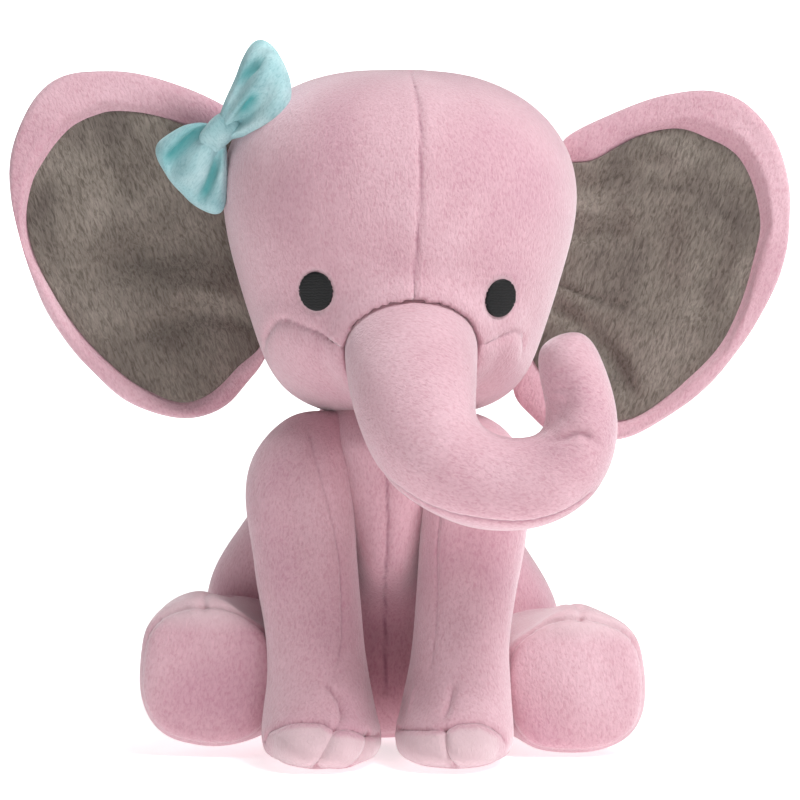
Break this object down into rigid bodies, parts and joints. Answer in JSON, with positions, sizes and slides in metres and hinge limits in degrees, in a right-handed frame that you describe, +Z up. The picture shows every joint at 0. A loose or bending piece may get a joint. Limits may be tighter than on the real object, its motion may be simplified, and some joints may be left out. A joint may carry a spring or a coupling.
{
  "type": "stuffed elephant",
  "caption": "Seated plush elephant with wide two-colour ears, a side-curled trunk, soft jointed limbs and a fabric bow on the head.",
  "frame": {"origin": "centre of the whole toy's footprint, on the plane it sits on", "axes": "+Z up, -Y is the way the face looks, +X towards the toy's own left side, which is the viewer's right from the front"},
  "size_m": [0.286, 0.1796, 0.2614],
  "materials": {
    "pink_plush": "short brushed pile",
    "pale_pink_plush": "short brushed pile",
    "grey_plush": "longer combed pile",
    "aqua_cloth": "smooth velour",
    "black_thread": "satin stitch embroidery",
    "fibrefill": "loose polyester fibre",
    "bean_cloth": "plain woven bag of plastic beans",
    "label_tape": "woven satin tape"
  },
  "bodies": {
    "torso": {"chest_panel_left": "pink_plush", "chest_panel_right": "pink_plush", "back_panel_left": "pink_plush", "back_panel_right": "pink_plush", "seat_panel": "pink_plush", "torso_stuffing": "fibrefill", "bean_bag": "bean_cloth", "care_label": "label_tape"},
    "head": {"head_panel_left": "pink_plush", "head_panel_right": "pink_plush", "cheek_panel_left": "pink_plush", "cheek_panel_right": "pink_plush", "head_stuffing": "fibrefill", "eye_left": "black_thread", "eye_right": "black_thread", "bow_loop_upper": "aqua_cloth", "bow_loop_lower": "aqua_cloth", "bow_knot": "aqua_cloth"},
    "trunk": {"trunk_front": "pink_plush", "trunk_back": "pink_plush", "trunk_stuffing": "fibrefill"},
    "tail": {"tail": "pink_plush"},
    "ear_left": {"ear_back_left": "pink_plush", "ear_front_left": "grey_plush", "ear_wadding_left": "fibrefill"},
    "front_leg_left": {"front_leg_outer_left": "pink_plush", "front_leg_inner_left": "pink_plush", "front_sole_left": "pale_pink_plush", "front_leg_stuffing_left": "fibrefill"},
    "hind_leg_left": {"hind_leg_outer_left": "pink_plush", "hind_leg_inner_left": "pink_plush", "hind_sole_left": "pale_pink_plush", "hind_leg_stuffing_left": "fibrefill"},
    "ear_right": {"ear_back_right": "pink_plush", "ear_front_right": "grey_plush", "ear_wadding_right": "fibrefill"},
    "front_leg_right": {"front_leg_outer_right": "pink_plush", "front_leg_inner_right": "pink_plush", "front_sole_right": "pale_pink_plush", "front_leg_stuffing_right": "fibrefill"},
    "hind_leg_right": {"hind_leg_outer_right": "pink_plush", "hind_leg_inner_right": "pink_plush", "hind_sole_right": "pale_pink_plush", "hind_leg_stuffing_right": "fibrefill"}
  },
  "joints": [
    {"name": "neck_nod", "type": "hinge", "parent": "torso", "child": "head", "pos_m": [0, 0.0081, 0.118], "axis": [1, 0, 0], "range_deg": [-10, 5], "stiffness_Nm_per_rad": 1.6},
    {"name": "trunk_swing", "type": "hinge", "parent": "head", "child": "trunk", "pos_m": [0.004, -0.0339, 0.152], "axis": [1, 0, 0], "range_deg": [-14, 4], "stiffness_Nm_per_rad": 0.45},
    {"name": "ear_fold_left", "type": "hinge", "parent": "head", "child": "ear_left", "pos_m": [-0.0626, 0.0051, 0.1675], "axis": [-0.0551, 0, 0.9985], "range_deg": [-30, 8], "stiffness_Nm_per_rad": 0.06},
    {"name": "ear_fold_right", "type": "hinge", "parent": "head", "child": "ear_right", "pos_m": [0.0626, 0.0051, 0.1605], "axis": [-0.0551, 0, -0.9985], "range_deg": [-30, 25], "stiffness_Nm_per_rad": 0.06},
    {"name": "front_leg_swing_left", "type": "hinge", "parent": "torso", "child": "front_leg_left", "pos_m": [-0.033, -0.0209, 0.098], "axis": [-1, 0, 0], "range_deg": [-3, 30], "stiffness_Nm_per_rad": 0.35},
    {"name": "front_leg_swing_right", "type": "hinge", "parent": "torso", "child": "front_leg_right", "pos_m": [0.025, -0.0209, 0.098], "axis": [-1, 0, 0], "range_deg": [-3, 12], "stiffness_Nm_per_rad": 0.35},
    {"name": "hind_leg_spread_left", "type": "hinge", "parent": "torso", "child": "hind_leg_left", "pos_m": [-0.053, 0.0111, 0.027], "axis": [0, 0, -1], "range_deg": [0, 25], "stiffness_Nm_per_rad": 0.25},
    {"name": "hind_leg_spread_right", "type": "hinge", "parent": "torso", "child": "hind_leg_right", "pos_m": [0.045, 0.0111, 0.027], "axis": [0, 0, 1], "range_deg": [0, 25], "stiffness_Nm_per_rad": 0.25},
    {"name": "tail_wag", "type": "hinge", "parent": "torso", "child": "tail", "pos_m": [-0.004, 0.0721, 0.035], "axis": [0, 0, 1], "range_deg": [-25, 25], "stiffness_Nm_per_rad": 0.004}
  ]
}
